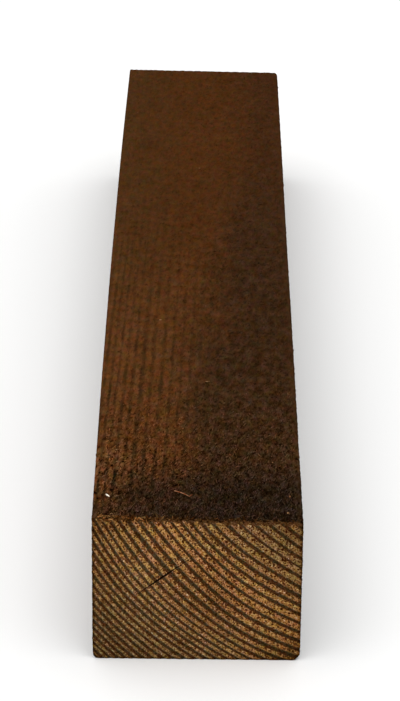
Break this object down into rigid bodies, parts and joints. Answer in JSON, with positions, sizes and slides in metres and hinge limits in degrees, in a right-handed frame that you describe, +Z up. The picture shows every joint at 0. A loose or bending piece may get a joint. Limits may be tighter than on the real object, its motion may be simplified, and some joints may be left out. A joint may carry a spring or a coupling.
{
  "type": "timber batten",
  "caption": "Straight length of brown-treated sawn softwood with eased long edges and a short drying check in its end, used as a fixing strip.",
  "frame": {"origin": "middle of the underside, halfway along the batten", "axes": "+X across the batten to its right side, +Y along it to the far end, +Z up"},
  "size_m": [0.05, 0.325, 0.0383],
  "materials": {
    "treated_softwood": "rough sawn, brown preservative stain"
  },
  "bodies": {
    "root": {"batten": "treated_softwood"}
  },
  "joints": []
}
